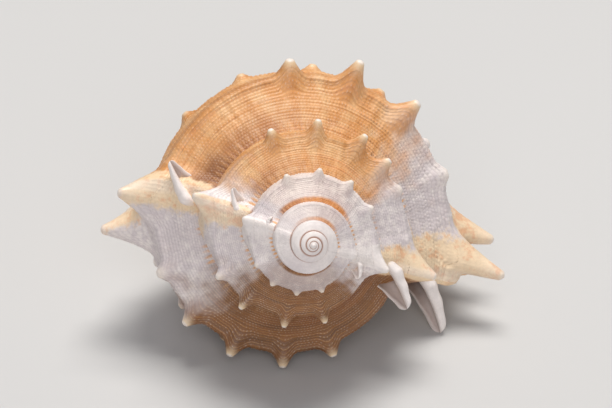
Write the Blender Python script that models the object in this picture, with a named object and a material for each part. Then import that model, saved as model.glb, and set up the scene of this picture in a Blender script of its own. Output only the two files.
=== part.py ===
"""A spiny frog shell, one solid piece lying on its aperture: a dextral spiral of about six whorls
with two spined varices in each whorl, rows of pointed nodules, and gutter-shaped canal spines.

The shell is worked out in its own frame, in millimetres: the apex at the origin, the coiling axis
along Z, and the whorls going down from it. It is then turned into the pose in which it lies.
A growth position t counts whorls from the outer lip, so t is 0 at the lip and negative before it.
"""

import math

import bmesh
import bpy
import numpy as np
from mathutils import Matrix

MM = 0.001

# Growth: the shoulder's radius and its depth under the apex, at the lip and back from it
LIP_RADIUS = 25.35
LIP_DEPTH = 30.6
GROWTH = 0.4092
GROWTH_FALL = -0.01536
DEPTH_POWER = 1.28
LIP_AZIMUTH = -17.4
FIRST_WHORL = -8.0
VARIX_STEP = 0.5

# Profile of the last whorl, as (radius over the lip radius, depth under the shoulder in mm)
BELOW_SHOULDER = (
    (1.000, 0.0),
    (1.008, 3.0),
    (1.000, 6.6),
    (0.975, 9.8),
    (0.915, 13.4),
    (0.810, 16.9),
    (0.670, 20.2),
    (0.520, 23.1),
    (0.375, 25.9),
    (0.300, 28.7),
    (0.262, 31.4),
    (0.240, 34.2),
    (0.225, 36.6),
)
RAMP_SHARES = (-0.25, 0.0, 0.3, 0.62, 0.85)
RAMP_DIP = 0.55
EARLY_BULGE = 1.3
EARLY_FROM = -3.0
EARLY_TO = -4.2
SUTURE_SHARE = 0.96
PAST_AXIS = 0.06
SHOULDER_ROW = 0.6
SECOND_ROW = 6.8
THIRD_ROW = 13.2

# Slant of the growth lines: degrees back from the shoulder, against mm under the shoulder
SLANT_DEPTHS = (-7.0, 0.0, 7.0, 14.0, 24.0, 37.0)
SLANT_DEGREES = (-5.0, 0.0, 9.0, 12.0, 9.0, 2.0)

# Varices
VARIX_HEIGHT = 2.7
VARIX_BACK = 0.044
VARIX_FRONT = 0.021
VARIX_FIRST = -4.2
VARIX_FADE = 1.5
LIP_ROUNDING = ((0.0035, 0.25), (0.006, 0.8), (0.0072, 1.6))

# Aperture: the hollow inside the last half whorl, as (radius, depth under the apex) at the lip
HOLLOW_OUTER = (
    (18.6, 28.6),
    (21.4, 30.6),
    (22.9, 34.0),
    (23.0, 38.0),
    (21.6, 42.4),
    (18.4, 46.6),
    (14.6, 49.8),
    (10.6, 52.6),
    (7.2, 55.6),
    (5.0, 59.0),
)
HOLLOW_INNER = (
    (2.6, 58.0),
    (3.4, 54.0),
    (4.6, 49.0),
    (5.4, 44.5),
    (5.8, 40.5),
    (7.2, 36.8),
    (10.2, 33.4),
    (13.2, 30.4),
    (15.8, 28.0),
)
HOLLOW_END = -0.46
HOLLOW_FRONT = 0.05
HOLLOW_STEPS = 26
HOLLOW_TIP = 0.25
HOLLOW_OPENING = 2.2

# Lower end of the columella, as (depth under the apex, radius)
PILLAR = ((40.0, 3.5), (46.0, 5.4), (54.0, 5.8), (60.0, 5.2), (65.0, 4.6), (67.2, 4.0))

# Slot of the siphonal canal: its depths, and its outline as (mm out from the axis, mm forward)
CANAL_DEPTHS = (54.0, 58.0, 62.0, 66.0, 70.0)
CANAL_SLOT = ((1.1, -1.0), (1.5, -1.8), (2.7, -1.8), (3.3, -1.0), (3.5, 9.0), (0.9, 9.0))

# Bend of the canal's end: the depth at which it starts, then how far its tip goes back and left
BEND_START = 50.0
BEND_LENGTH = 17.6
BEND_BACK = 2.2
BEND_LEFT = 1.4

# Spines of the varices, as (t, mm under the shoulder, length, foot radius, lift)
VARIX_SPINES = (
    (-0.002, 0.6, 9.5, 4.9, 0.18),
    (-0.004, 6.8, 8.4, 5.0, 0.06),
    (-0.006, 13.2, 4.6, 4.4, 0.0),
    (-0.006, 19.0, 3.0, 3.6, 0.0),
    (-0.515, 0.6, 6.3, 4.4, 0.22),
    (-0.530, 6.8, 7.9, 4.6, 0.05),
    (-0.515, 13.2, 4.4, 4.0, 0.0),
    (-0.510, 19.0, 2.6, 3.2, 0.0),
    (-0.997, 0.6, 5.3, 3.5, 0.25),
    (-1.491, 0.6, 3.9, 2.9, 0.30),
    (-1.988, 0.6, 2.8, 2.2, 0.35),
    (-2.496, 0.6, 1.7, 1.7, 0.40),
    (-3.001, 0.6, 0.9, 1.2, 0.40),
)
SPINE_CURL = 0.10
SPINE_SPREAD = 1.35

# Canal spines, as (t of the varix, turn forward of the tip, reach of the tip over the shoulder's
# radius, mm it hangs down), then the radius in mm at foot and tip and how hollow the taper is
CANAL_SPINES = (
    (0.000, 0.0459, 1.159, 5.5, 3.3, 0.80, 0.6),
    (-0.510, 0.0311, 1.035, 2.0, 3.0, 0.60, 1.5),
    (-0.997, 0.0344, 1.183, 1.5, 2.9, 0.70, 0.7),
    (-1.491, 0.0276, 0.942, 1.0, 1.5, 0.40, 1.2),
    (-1.988, 0.0309, 0.906, 0.5, 1.4, 0.35, 0.8),
    (-2.496, 0.0287, 0.765, 0.0, 0.8, 0.25, 0.8),
)
CANAL_SPINE_FOOT = 0.36
CANAL_SPINE_FOOT_DROP = 2.6
CANAL_SPINE_SAG = 0.5
CANAL_SPINE_WALL = 0.48
CANAL_SPINE_LEAST_WALL = 0.8
CANAL_SPINE_FULL = 0.95
GUTTER_HALF_ANGLE = math.radians(88)
GUTTER_STEPS = 10

# Nodules of the shoulder, as (t, height), and the growth positions of the two lower rows
SHOULDER_NODULES = (
    (-0.094, 1.4),
    (-0.167, 3.4),
    (-0.233, 4.0),
    (-0.299, 2.6),
    (-0.600, 1.6),
    (-0.662, 2.5),
    (-0.723, 2.6),
    (-0.785, 2.6),
    (-0.846, 2.2),
    (-1.110, 0.9),
    (-1.154, 1.8),
    (-1.203, 2.4),
    (-1.273, 2.4),
    (-1.343, 1.9),
    (-1.620, 1.4),
    (-1.685, 1.8),
    (-1.766, 1.9),
    (-1.839, 1.8),
    (-2.115, 1.0),
    (-2.189, 1.2),
    (-2.267, 1.2),
    (-2.347, 1.0),
    (-2.620, 0.6),
    (-2.690, 0.8),
    (-2.766, 0.8),
    (-2.843, 0.8),
)
SECOND_NODULES = (
    *(-0.101, -0.171, -0.247, -0.324, -0.396),
    *(-0.571, -0.629, -0.693, -0.757, -0.821),
)
THIRD_NODULES = (-0.10, -0.18, -0.26, -0.34, -0.42, -0.59, -0.66, -0.73, -0.80)
NODULE_WIDTH = 4.0
NODULE_WIDTH_POWER = 0.9
NODULE_LIFT = 0.35
NODULE_SPREAD = 0.85
SECOND_HEIGHT = 1.4
SECOND_WIDTH = 3.2
SECOND_LIFT = 0.10
THIRD_HEIGHT = 1.4
THIRD_WIDTH = 2.8
THIRD_LIFT = 0.25

THORN_RINGS = 8
THORN_SIDES = 12
THORN_TIP = 0.22
FALL_FROM = 6.0
FALL_OVER = 18.0
STEPS_PER_WHORL = 60
NUCLEUS = 0.45
NUCLEUS_RINGS = 8
NUCLEUS_SIDES = 12
PILLAR_SIDES = 20

# Pose in which the shell lies: turns in degrees, and where its apex stands, in mm
ROLL = -1.43
PITCH = -23.30
APEX_AT = (-2.515, -32.025, 27.75)

# Fineness of the fused surface and the gap that is welded, in mm, and the share of triangles kept
VOXEL = 0.45
WELD = 0.02
KEPT_SHARE = 0.086


def radius(t):
    return LIP_RADIUS * np.exp(GROWTH * t + GROWTH_FALL * t * t)


def scale(t):
    return radius(t) / LIP_RADIUS


def depth(t):
    return LIP_DEPTH * scale(t) ** DEPTH_POWER


def azimuth(t):
    return math.radians(LIP_AZIMUTH) - 2 * math.pi * t


def suture(t):
    """Radius and depth of the line where the whorl meets the one before it."""
    return SUTURE_SHARE * radius(t - 1), (depth(t) + depth(t - 1)) / 2


def slant(under):
    return math.radians(float(np.interp(under, SLANT_DEPTHS, SLANT_DEGREES)))


def place(t, rho, down):
    """The point at this radius and depth on the growth line of t."""
    under = (down - depth(t)) / scale(t)
    angle = azimuth(t) + slant(under)
    lip = math.radians(LIP_AZIMUTH)
    bend = max(0.0, (down - BEND_START) / BEND_LENGTH) ** 2
    back = bend * BEND_BACK
    left = bend * BEND_LEFT
    x = rho * math.cos(angle) - back * math.sin(lip) - left * math.cos(lip)
    y = rho * math.sin(angle) + back * math.cos(lip) - left * math.sin(lip)
    return np.array([x, y, -down])


def smooth_curve(points, steps):
    """A Catmull-Rom curve through the points, with this many steps between each two."""
    p = np.array([points[0], *points, points[-1]], float)
    found = []
    for i in range(1, len(p) - 2):
        for k in range(steps):
            u = k / steps
            a = 2 * p[i]
            b = p[i + 1] - p[i - 1]
            c = 2 * p[i - 1] - 5 * p[i] + 4 * p[i + 1] - p[i + 2]
            d = 3 * p[i] - p[i - 1] - 3 * p[i + 1] + p[i + 2]
            found.append((a + b * u + c * u * u + d * u**3) / 2)
    found.append(p[-2])
    return np.array(found)


def ramp_dip(t):
    """How far the ramp sags between suture and shoulder; the early whorls swell instead."""
    early = min(1.0, max(0.0, (EARLY_FROM - t) / (EARLY_FROM - EARLY_TO)))
    return RAMP_DIP * (1 - early) - EARLY_BULGE * early


def whorl_profile(t):
    """The outer side of the whorl at t, from just inside the suture to the tip of the canal."""
    s = scale(t)
    inner, top = suture(t)
    ramp_rise = depth(t) - top
    ramp = []
    for u in RAMP_SHARES:
        dip = ramp_dip(t) * s * math.sin(math.pi * max(u, 0.0))
        ramp.append((inner + u * (radius(t) - inner), top + u * ramp_rise + dip))
    below = [(f * radius(t), depth(t) + d * s) for f, d in BELOW_SHOULDER]
    return smooth_curve(ramp + below, 2)


def varix_height(t):
    """Height of the ridge of the nearest varix: steep in front of it, long behind it."""
    nearest = round(t / VARIX_STEP) * VARIX_STEP
    off = t - nearest
    width = VARIX_FRONT if off > 0 else VARIX_BACK
    fade = min(1.0, max(0.0, (nearest - VARIX_FIRST) / VARIX_FADE))
    return VARIX_HEIGHT * scale(t) * fade * math.exp(-((off / width) ** 2))


def outward(profile):
    """Unit normals of a profile, pointing out of the whorl."""
    along = np.gradient(profile, axis=0)
    normal = np.stack([along[:, 1], -along[:, 0]], axis=1)
    return normal / np.linalg.norm(normal, axis=1)[:, None]


def varix_swell(count):
    """Share of the varix's height at each point of a profile: none at the canal's tip."""
    return np.maximum(np.sin(np.linspace(0.12, 1.0, count) * math.pi), 0.0) ** 0.4


def body_section(t, shrink=0.0):
    """The closed outline swept round the axis: the outer profile, closed just past the axis."""
    profile = whorl_profile(t)
    raised = varix_height(t) * varix_swell(len(profile)) - shrink
    profile = profile + outward(profile) * raised[:, None]
    past_axis = -PAST_AXIS * radius(t)
    return [(past_axis, profile[0, 1]), *map(tuple, profile), (past_axis, profile[-1, 1])]


def hollow_section(t):
    """The outline of the hollow inside the whorl at t."""
    s = scale(t)
    points = []
    for rho, down in smooth_curve(HOLLOW_OUTER, 2):
        points.append((rho * s, depth(t) + (down - LIP_DEPTH) * s))
    for rho, down in smooth_curve(HOLLOW_INNER, 2):
        points.append((rho * s, depth(t) + (down - LIP_DEPTH) * s))
    return points


class Surface:
    """Points and faces gathered from several closed shapes, in millimetres."""

    def __init__(self):
        self.points = []
        self.faces = []

    def sweep(self, rings):
        """A closed tube through the rings, capped at both ends."""
        start = len(self.points)
        count = len(rings[0])
        for ring in rings:
            self.points.extend(ring)
        for i in range(len(rings) - 1):
            a = start + i * count
            b = a + count
            for k in range(count):
                m = (k + 1) % count
                self.faces.append((a + k, a + m, b + m, b + k))
        last = start + (len(rings) - 1) * count
        self.faces.append(tuple(start + k for k in reversed(range(count))))
        self.faces.append(tuple(last + k for k in range(count)))

    def object(self, name, pose):
        mesh = bpy.data.meshes.new(name)
        mesh.from_pydata([tuple(p) for p in self.points], [], self.faces)
        mesh.transform(pose @ Matrix.Scale(MM, 4))
        bm = bmesh.new()
        bm.from_mesh(mesh)
        bmesh.ops.recalc_face_normals(bm, faces=bm.faces)
        bm.to_mesh(mesh)
        bm.free()
        obj = bpy.data.objects.new(name, mesh)
        bpy.context.scene.collection.objects.link(obj)
        return obj


def frame_at(t, rho, down):
    """The point with its directions away from the axis, forward along the growth, and up to the apex."""
    point = place(t, rho, down)
    angle = math.atan2(point[1], point[0])
    out = np.array([math.cos(angle), math.sin(angle), 0.0])
    forward = np.array([math.sin(angle), -math.cos(angle), 0.0])
    return point, out, forward, np.array([0.0, 0.0, 1.0])


def ring_round(centre, along, width, count, spread):
    """A ring of points square to the direction along; spread stretches it round the shell's axis."""
    up = np.array([0.0, 0.0, 1.0])
    first = up - along * up.dot(along)
    first = first / np.linalg.norm(first)
    second = np.cross(along, first)
    angles = [2 * math.pi * k / count for k in range(count)]
    return [
        centre + width * (first * math.cos(a) + spread * second * math.sin(a)) for a in angles
    ]


def level_ring(centre, width, count):
    """A ring of points round the shell's axis."""
    angles = [2 * math.pi * k / count for k in range(count)]
    return [
        centre + width * np.array([math.cos(a), math.sin(a), 0.0]) for a in angles
    ]


def thorn_outline(length, width):
    """(distance from the axis, height over the foot) up the side of a thorn, from inside the shell."""
    corners = (
        (width, -0.5 * width),
        (0.60 * width, -0.04 * length),
        (0.36 * width, 0.40 * length),
        (THORN_TIP * width, 0.93 * length),
    )
    outline = []
    for k in range(THORN_RINGS):
        u = k / (THORN_RINGS - 1)
        weights = ((1 - u) ** 3, 3 * u * (1 - u) ** 2, 3 * u * u * (1 - u), u**3)
        outline.append([sum(w * c[axis] for w, c in zip(weights, corners)) for axis in (0, 1)])
    outline.append((0.62 * THORN_TIP * width, 0.985 * length))
    outline.append((0.10 * THORN_TIP * width, length))
    return outline


def thorn(surface, t, row, length, width, lift, curl, spread):
    """A pointed knob or spine standing on a spiral row: a flared foot drawn out to a blunt tip.

    lift turns it towards the apex, curl bends its tip up, and spread is how long its foot is
    along the row over how wide it is across it.
    """
    s = scale(t)
    rows = [under for _, under in BELOW_SHOULDER]
    shares = [share for share, _ in BELOW_SHOULDER]
    rho = float(np.interp(row, rows, shares)) * radius(t)
    foot, out, _, up = frame_at(t, rho, depth(t) + row * s)
    fall = max(0.0, row - FALL_FROM) / FALL_OVER
    along = out + (lift - fall) * up
    along = along / np.linalg.norm(along)
    rings = []
    for across, height in thorn_outline(length, width):
        rise = max(height / length, 0.0)
        centre = foot + along * height + up * (curl * length * rise**2)
        longer = 1.0 + (spread - 1.0) * (1 - rise) ** 2
        rings.append(ring_round(centre, along, across, THORN_SIDES, longer))
    surface.sweep(rings)


def canal_spine(surface, t, turn, reach, hang, foot_width, tip_width, power):
    """A half-pipe spine standing on a varix at the suture, open towards the apex and the axis."""
    s = scale(t)
    inner, top = suture(t)
    foot_radius = inner + CANAL_SPINE_FOOT * (radius(t) - inner)
    foot, out, forward, up = frame_at(t, foot_radius, top + CANAL_SPINE_FOOT_DROP * s)
    tip = frame_at(t + turn, reach * radius(t), top + hang * s)[0]
    along = tip - foot
    opening = 0.55 * up - 0.85 * out - 0.10 * forward
    opening = opening - along * opening.dot(along) / along.dot(along)
    opening = opening / np.linalg.norm(opening)
    side = np.cross(along / np.linalg.norm(along), opening)
    rings = []
    for u in (-0.30, 0.0, 0.2, 0.4, 0.6, 0.8, 0.93, 1.0):
        rise = max(u, 0.0)
        sag = CANAL_SPINE_SAG * s * math.sin(math.pi * rise)
        centre = foot + along * u - opening * sag
        outer = tip_width + (foot_width - tip_width) * (1 - rise) ** power
        wall = max(CANAL_SPINE_WALL * outer, CANAL_SPINE_LEAST_WALL)
        wall = min(wall, CANAL_SPINE_FULL * outer)
        ring = []
        for k in range(GUTTER_STEPS + 1):
            a = GUTTER_HALF_ANGLE * (2 * k / GUTTER_STEPS - 1)
            ring.append(centre - outer * opening * math.cos(a) + outer * side * math.sin(a))
        for k in range(GUTTER_STEPS + 1):
            a = GUTTER_HALF_ANGLE * (1 - 2 * k / GUTTER_STEPS)
            ring.append(centre + (outer - wall) * (side * math.sin(a) - opening * math.cos(a)))
        rings.append(ring)
    surface.sweep(rings)


def build_body(surface):
    """The whorls, swept round the axis from the tip to the outer lip."""
    steps = int(round(-FIRST_WHORL * STEPS_PER_WHORL))
    rings = []
    for i in range(steps + 1):
        t = FIRST_WHORL * (1 - i / steps)
        rings.append([place(t, rho, down) for rho, down in body_section(t)])
    for t, shrink in LIP_ROUNDING:
        rings.append([place(t, rho, down) for rho, down in body_section(t, shrink)])
    surface.sweep(rings)
    nucleus = []
    for k in range(NUCLEUS_RINGS + 1):
        a = math.pi * k / NUCLEUS_RINGS
        centre = np.array([0.0, 0.0, NUCLEUS * (math.cos(a) - 1)])
        nucleus.append(level_ring(centre, 0.05 + NUCLEUS * math.sin(a), NUCLEUS_SIDES))
    surface.sweep(nucleus)


def build_nodules(surface):
    """The three rows of knobs between the varices, smaller on the smaller whorls."""
    for t, height in SHOULDER_NODULES:
        width = NODULE_WIDTH * scale(t) ** NODULE_WIDTH_POWER
        thorn(surface, t, SHOULDER_ROW, height, width, NODULE_LIFT, 0.0, NODULE_SPREAD)
    for t in SECOND_NODULES:
        height = SECOND_HEIGHT * scale(t)
        width = SECOND_WIDTH * scale(t)
        thorn(surface, t, SECOND_ROW, height, width, SECOND_LIFT, 0.0, NODULE_SPREAD)
    for t in THIRD_NODULES:
        height = THIRD_HEIGHT * scale(t)
        width = THIRD_WIDTH * scale(t)
        thorn(surface, t, THIRD_ROW, height, width, THIRD_LIFT, 0.0, NODULE_SPREAD)


def build_pillar(surface):
    """The lower end of the columella, which the siphonal canal runs along."""
    rings = []
    for down, across in PILLAR:
        centre = place(0.0, 0.0, down)
        rings.append(level_ring(centre, across, PILLAR_SIDES))
    surface.sweep(rings)


def build_hollow(surface):
    """The hollow of the aperture, from its narrow end inside the whorl to just past the lip."""
    rings = []
    for i in range(HOLLOW_STEPS + 1):
        share = i / HOLLOW_STEPS
        t = HOLLOW_END + (HOLLOW_FRONT - HOLLOW_END) * share
        close = min(1.0, HOLLOW_TIP + HOLLOW_OPENING * share)
        section = np.array(hollow_section(t))
        middle = section.mean(axis=0)
        section = middle + (section - middle) * close
        rings.append([place(t, rho, down) for rho, down in section])
    surface.sweep(rings)


def build_canal(surface):
    """The slot of the siphonal canal, open towards the side that the aperture faces."""
    lip = math.radians(LIP_AZIMUTH)
    out = np.array([math.cos(lip), math.sin(lip), 0.0])
    forward = np.array([math.sin(lip), -math.cos(lip), 0.0])
    rings = []
    for down in CANAL_DEPTHS:
        middle = place(0.0, 0.0, down)
        ring = [middle + a * out + b * forward for a, b in CANAL_SLOT]
        rings.append(ring)
    surface.sweep(rings)


def add_boolean(obj, name, cutter):
    cut = obj.modifiers.new(name, "BOOLEAN")
    cut.operation = "DIFFERENCE"
    cut.object = cutter
    cutter.hide_render = True
    cutter.display_type = "WIRE"


def shell_pose():
    """Stands the shell's axis along -Y, apex to the front, then rolls and pitches it into its rest."""
    lay = Matrix(((1, 0, 0, 0), (0, 0, -1, 0), (0, 1, 0, 0), (0, 0, 0, 1)))
    roll = Matrix.Rotation(math.radians(ROLL), 4, "Z")
    pitch = Matrix.Rotation(math.radians(PITCH), 4, "X")
    return Matrix.Translation(np.array(APEX_AT) * MM) @ pitch @ lay @ roll


def wear_flat(obj):
    """Applies the modifiers and wears off what would reach below the ground, leaving small flats."""
    graph = bpy.context.evaluated_depsgraph_get()
    mesh = bpy.data.meshes.new_from_object(obj.evaluated_get(graph))
    obj.modifiers.clear()
    obj.data = mesh
    bm = bmesh.new()
    bm.from_mesh(mesh)
    bmesh.ops.remove_doubles(bm, verts=bm.verts, dist=WELD * MM)
    bmesh.ops.dissolve_degenerate(bm, edges=bm.edges, dist=WELD * MM)
    bmesh.ops.bisect_plane(
        bm,
        geom=bm.verts[:] + bm.edges[:] + bm.faces[:],
        plane_co=(0.0, 0.0, 0.0),
        plane_no=(0.0, 0.0, -1.0),
        clear_outer=True,
    )
    rims = [edge for edge in bm.edges if edge.is_boundary]
    bmesh.ops.holes_fill(bm, edges=rims, sides=0)
    bmesh.ops.triangulate(bm, faces=bm.faces)
    bm.to_mesh(mesh)
    bm.free()


def shell_material():
    material = bpy.data.materials.new("banded shell")
    material.use_nodes = True
    paint = material.node_tree.nodes["Principled BSDF"]
    paint.inputs["Base Color"].default_value = (0.62, 0.38, 0.20, 1.0)
    paint.inputs["Roughness"].default_value = 0.45
    return material


def main():
    for old in list(bpy.data.objects):
        bpy.data.objects.remove(old)
    pose = shell_pose()

    solid = Surface()
    build_body(solid)
    build_pillar(solid)
    for spine in CANAL_SPINES:
        canal_spine(solid, *spine)
    for t, row, length, width, lift in VARIX_SPINES:
        thorn(solid, t, row, length, width, lift, SPINE_CURL, SPINE_SPREAD)
    build_nodules(solid)
    shell = solid.object("shell", pose)
    shell.data.materials.append(shell_material())

    fuse = shell.modifiers.new("fuse", "REMESH")
    fuse.mode = "VOXEL"
    fuse.voxel_size = VOXEL * MM
    blend = shell.modifiers.new("blend", "SMOOTH")
    blend.factor = 0.5
    blend.iterations = 3

    hollow = Surface()
    build_hollow(hollow)
    add_boolean(shell, "aperture", hollow.object("aperture_cutter", pose))
    canal = Surface()
    build_canal(canal)
    add_boolean(shell, "siphonal canal", canal.object("canal_cutter", pose))

    thin = shell.modifiers.new("thin", "DECIMATE")
    thin.ratio = KEPT_SHARE
    wear_flat(shell)
    shell.data.shade_smooth()


main()
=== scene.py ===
import math

import bpy
import numpy as np
from mathutils import Matrix, Vector


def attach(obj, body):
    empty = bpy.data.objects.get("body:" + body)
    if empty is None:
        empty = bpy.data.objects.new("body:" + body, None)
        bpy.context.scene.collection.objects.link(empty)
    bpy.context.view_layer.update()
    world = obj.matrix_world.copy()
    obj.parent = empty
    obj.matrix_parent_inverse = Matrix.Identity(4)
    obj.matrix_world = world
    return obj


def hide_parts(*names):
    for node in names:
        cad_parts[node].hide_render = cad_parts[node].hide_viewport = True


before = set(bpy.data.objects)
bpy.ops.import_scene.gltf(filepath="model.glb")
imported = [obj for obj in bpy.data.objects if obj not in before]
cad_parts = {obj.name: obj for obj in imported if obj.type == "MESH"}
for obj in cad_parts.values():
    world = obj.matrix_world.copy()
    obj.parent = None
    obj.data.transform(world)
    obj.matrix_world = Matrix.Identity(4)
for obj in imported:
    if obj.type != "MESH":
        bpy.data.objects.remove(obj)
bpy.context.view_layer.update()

bpy.ops.object.select_all(action="DESELECT")


# Spire
# The whorls that the snail grew before the last one, from a tiny smooth tip to the start of the
# body whorl. They are limy wall under a worn skin, beaded in fine spiral cords, with two varices
# to a whorl. Each whorl is the same outline again, larger, lower and further out.

# A growth position t counts whorls: 0 at the lip, less behind it. Lengths are millimetres in the
# shell's own frame, apex at the origin, axis along Z
MM = 0.001
FIRST_WHORL = -8.0
LAST_WHORL = -1.05
LIP_RADIUS = 25.35
LIP_DEPTH = 30.6
GROWTH = 0.4092
GROWTH_FALL = -0.01536
DEPTH_POWER = 1.28
LIP_AZIMUTH = math.radians(-17.4)
SUTURE_SHARE = 0.96
TO_APEX = np.array([0.0, 0.0, 1.0])

# How it lies: degrees of roll and pitch of its axis, and where its apex stands
ROLL = -1.43
PITCH = -23.30
APEX_AT = (-2.515, -32.025, 27.75)

# Outline of a whorl: the ramp from suture to shoulder, then (radius over the lip's, mm under it)
RAMP_SHARES = (-0.25, 0.0, 0.3, 0.62, 0.85)
RAMP_DIP = 0.55
EARLY_BULGE = 1.3
EARLY_FROM = -3.0
EARLY_TO = -4.2
BELOW_SHOULDER = (
    (1.000, 0.0),
    (1.008, 3.0),
    (1.000, 6.6),
    (0.975, 9.8),
    (0.915, 13.4),
    (0.810, 16.9),
    (0.670, 20.2),
    (0.520, 23.1),
    (0.375, 25.9),
    (0.300, 28.7),
    (0.262, 31.4),
    (0.240, 34.2),
    (0.222, 35.4),
    (0.185, 36.2),
    (0.130, 36.65),
    (0.070, 36.8),
)
CORNERS = len(RAMP_SHARES) + len(BELOW_SHOULDER)
SLANT_DEPTHS = (-7.0, 0.0, 7.0, 14.0, 24.0, 37.0)
SLANT_DEGREES = (-5.0, 0.0, 9.0, 12.0, 9.0, 2.0)
BEND_START = 50.0
BEND_LENGTH = 17.6
BEND_BACK = 2.2
BEND_LEFT = 1.4

VARIX_STEP = 0.5
VARIX_HEIGHT = 2.7
VARIX_BACK = 0.044
VARIX_FRONT = 0.021
VARIX_FIRST = -4.2
VARIX_FADE = 1.5

# The sculpture of the wall: beads on spiral cords, folds under the suture, lines and swellings
SCULPTURE_FROM = -4.6
SCULPTURE_FULL = -3.4
BEADS_PER_WHORL = 240.0
BEAD_POWER = 0.62
COLUMNS_PER_BEAD = 3
ROWS_PER_CORD = 4
BEAD_HEIGHT = 0.17
BEADS_PER_FOLD = 2.0
FOLD_HEIGHT = 0.12
FOLD_WIDTH = 1.9
GROWTH_LINE = 0.07
SWELL = 0.16
SUNK_UNDER = 1.5
TUCK = 0.15
TUCK_LENGTH = 0.008
NUCLEUS = 0.42
NUCLEUS_DOWN = 0.30

# Nodules of the shoulder, as (t, height), and the growth positions of those on the rows under it
SHOULDER_NODULES = (
    (-0.094, 1.4),
    (-0.167, 3.4),
    (-0.233, 4.0),
    (-0.299, 2.6),
    (-0.600, 1.6),
    (-0.662, 2.5),
    (-0.723, 2.6),
    (-0.785, 2.6),
    (-0.846, 2.2),
    (-1.110, 0.9),
    (-1.154, 1.8),
    (-1.203, 2.4),
    (-1.273, 2.4),
    (-1.343, 1.9),
    (-1.620, 1.4),
    (-1.685, 1.8),
    (-1.766, 1.9),
    (-1.839, 1.8),
    (-2.115, 1.0),
    (-2.189, 1.2),
    (-2.267, 1.2),
    (-2.347, 1.0),
    (-2.620, 0.6),
    (-2.690, 0.8),
    (-2.766, 0.8),
    (-2.843, 0.8),
)
SECOND_NODULES = (
    *(-0.101, -0.171, -0.247, -0.324, -0.396),
    *(-0.571, -0.629, -0.693, -0.757, -0.821),
)
THIRD_NODULES = (-0.10, -0.18, -0.26, -0.34, -0.42, -0.59, -0.66, -0.73, -0.80)

# Spines of the varices, as (t, mm under the shoulder, length, foot radius, lift)
VARIX_SPINES = (
    (-0.014, 0.6, 9.5, 4.6, 0.18),
    (-0.013, 6.8, 8.4, 4.6, 0.06),
    (-0.013, 13.2, 4.6, 4.2, 0.0),
    (-0.013, 19.0, 3.0, 3.4, 0.0),
    (-0.515, 0.6, 6.3, 4.2, 0.22),
    (-0.530, 6.8, 7.9, 4.4, 0.05),
    (-0.515, 13.2, 4.4, 4.0, 0.0),
    (-0.510, 19.0, 2.6, 3.2, 0.0),
    (-0.997, 0.6, 5.3, 3.5, 0.25),
    (-1.491, 0.6, 3.9, 2.9, 0.30),
    (-1.988, 0.6, 2.8, 2.2, 0.35),
    (-2.496, 0.6, 1.7, 1.7, 0.40),
    (-3.001, 0.6, 0.9, 1.2, 0.40),
)
SPINE_CURL = 0.10
SPINE_SPREAD = 1.35
NODULE_SPREAD = 0.85
SPINE_TIP = 0.18
NODULE_TIP = 0.19
LIP_LEAN = 0.20
DROOP_FROM = 6.0
DROOP_OVER = 18.0
THORN_MARGIN = 0.04
THORN_ROWS = 1.9
TALL_THORN = 1.6


def radius(t):
    return LIP_RADIUS * np.exp(GROWTH * t + GROWTH_FALL * t * t)


def scale(t):
    return radius(t) / LIP_RADIUS


def depth(t):
    return LIP_DEPTH * scale(t) ** DEPTH_POWER


def ease(value, low, high):
    """0 at low, 1 at high, and a smooth step between them."""
    share = np.clip((value - low) / (high - low), 0.0, 1.0)
    return share * share * (3 - 2 * share)


def level_ways(angle):
    """The level directions out from the axis and forward along the growth, at this angle."""
    out = np.array([math.cos(angle), math.sin(angle), 0.0])
    forward = np.array([math.sin(angle), -math.cos(angle), 0.0])
    return out, forward


OUT_AT_LIP, FORWARD_AT_LIP = level_ways(LIP_AZIMUTH)


def turned(angle, rho, down):
    """The point at this angle, radius and depth, with the end of the canal bent back and aside."""
    bend = np.maximum(0.0, (down - BEND_START) / BEND_LENGTH) ** 2
    x = rho * np.cos(angle) - bend * (BEND_BACK * FORWARD_AT_LIP[0] + BEND_LEFT * OUT_AT_LIP[0])
    y = rho * np.sin(angle) - bend * (BEND_BACK * FORWARD_AT_LIP[1] + BEND_LEFT * OUT_AT_LIP[1])
    return np.stack([x, y, -down + 0.0 * x], axis=-1)


def place(t, rho, down):
    """The point at this radius and depth on the slanting growth line of t."""
    under = (down - depth(t)) / scale(t)
    slant = np.radians(np.interp(under, SLANT_DEPTHS, SLANT_DEGREES))
    return turned(LIP_AZIMUTH - 2 * np.pi * t + slant, rho, down)


def suture(t):
    """Radius and depth of the seam where the whorl meets the one before it."""
    return SUTURE_SHARE * radius(t - 1), (depth(t) + depth(t - 1)) / 2


def outline_corners(t):
    """The corners of the whorl's outline at each t, as (radius, depth) from suture to canal."""
    inner, top = suture(t)
    early = np.clip((EARLY_FROM - t) / (EARLY_FROM - EARLY_TO), 0.0, 1.0)
    sag = (RAMP_DIP * (1 - early) - EARLY_BULGE * early) * scale(t)
    corners = []
    for share in RAMP_SHARES:
        rho = inner + share * (radius(t) - inner)
        down = top + share * (depth(t) - top) + sag * math.sin(math.pi * max(share, 0.0))
        corners.append(np.stack([rho, down], axis=-1))
    for share, under in BELOW_SHOULDER:
        corners.append(np.stack([share * radius(t), depth(t) + under * scale(t)], axis=-1))
    return np.stack(corners, axis=1)


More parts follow.
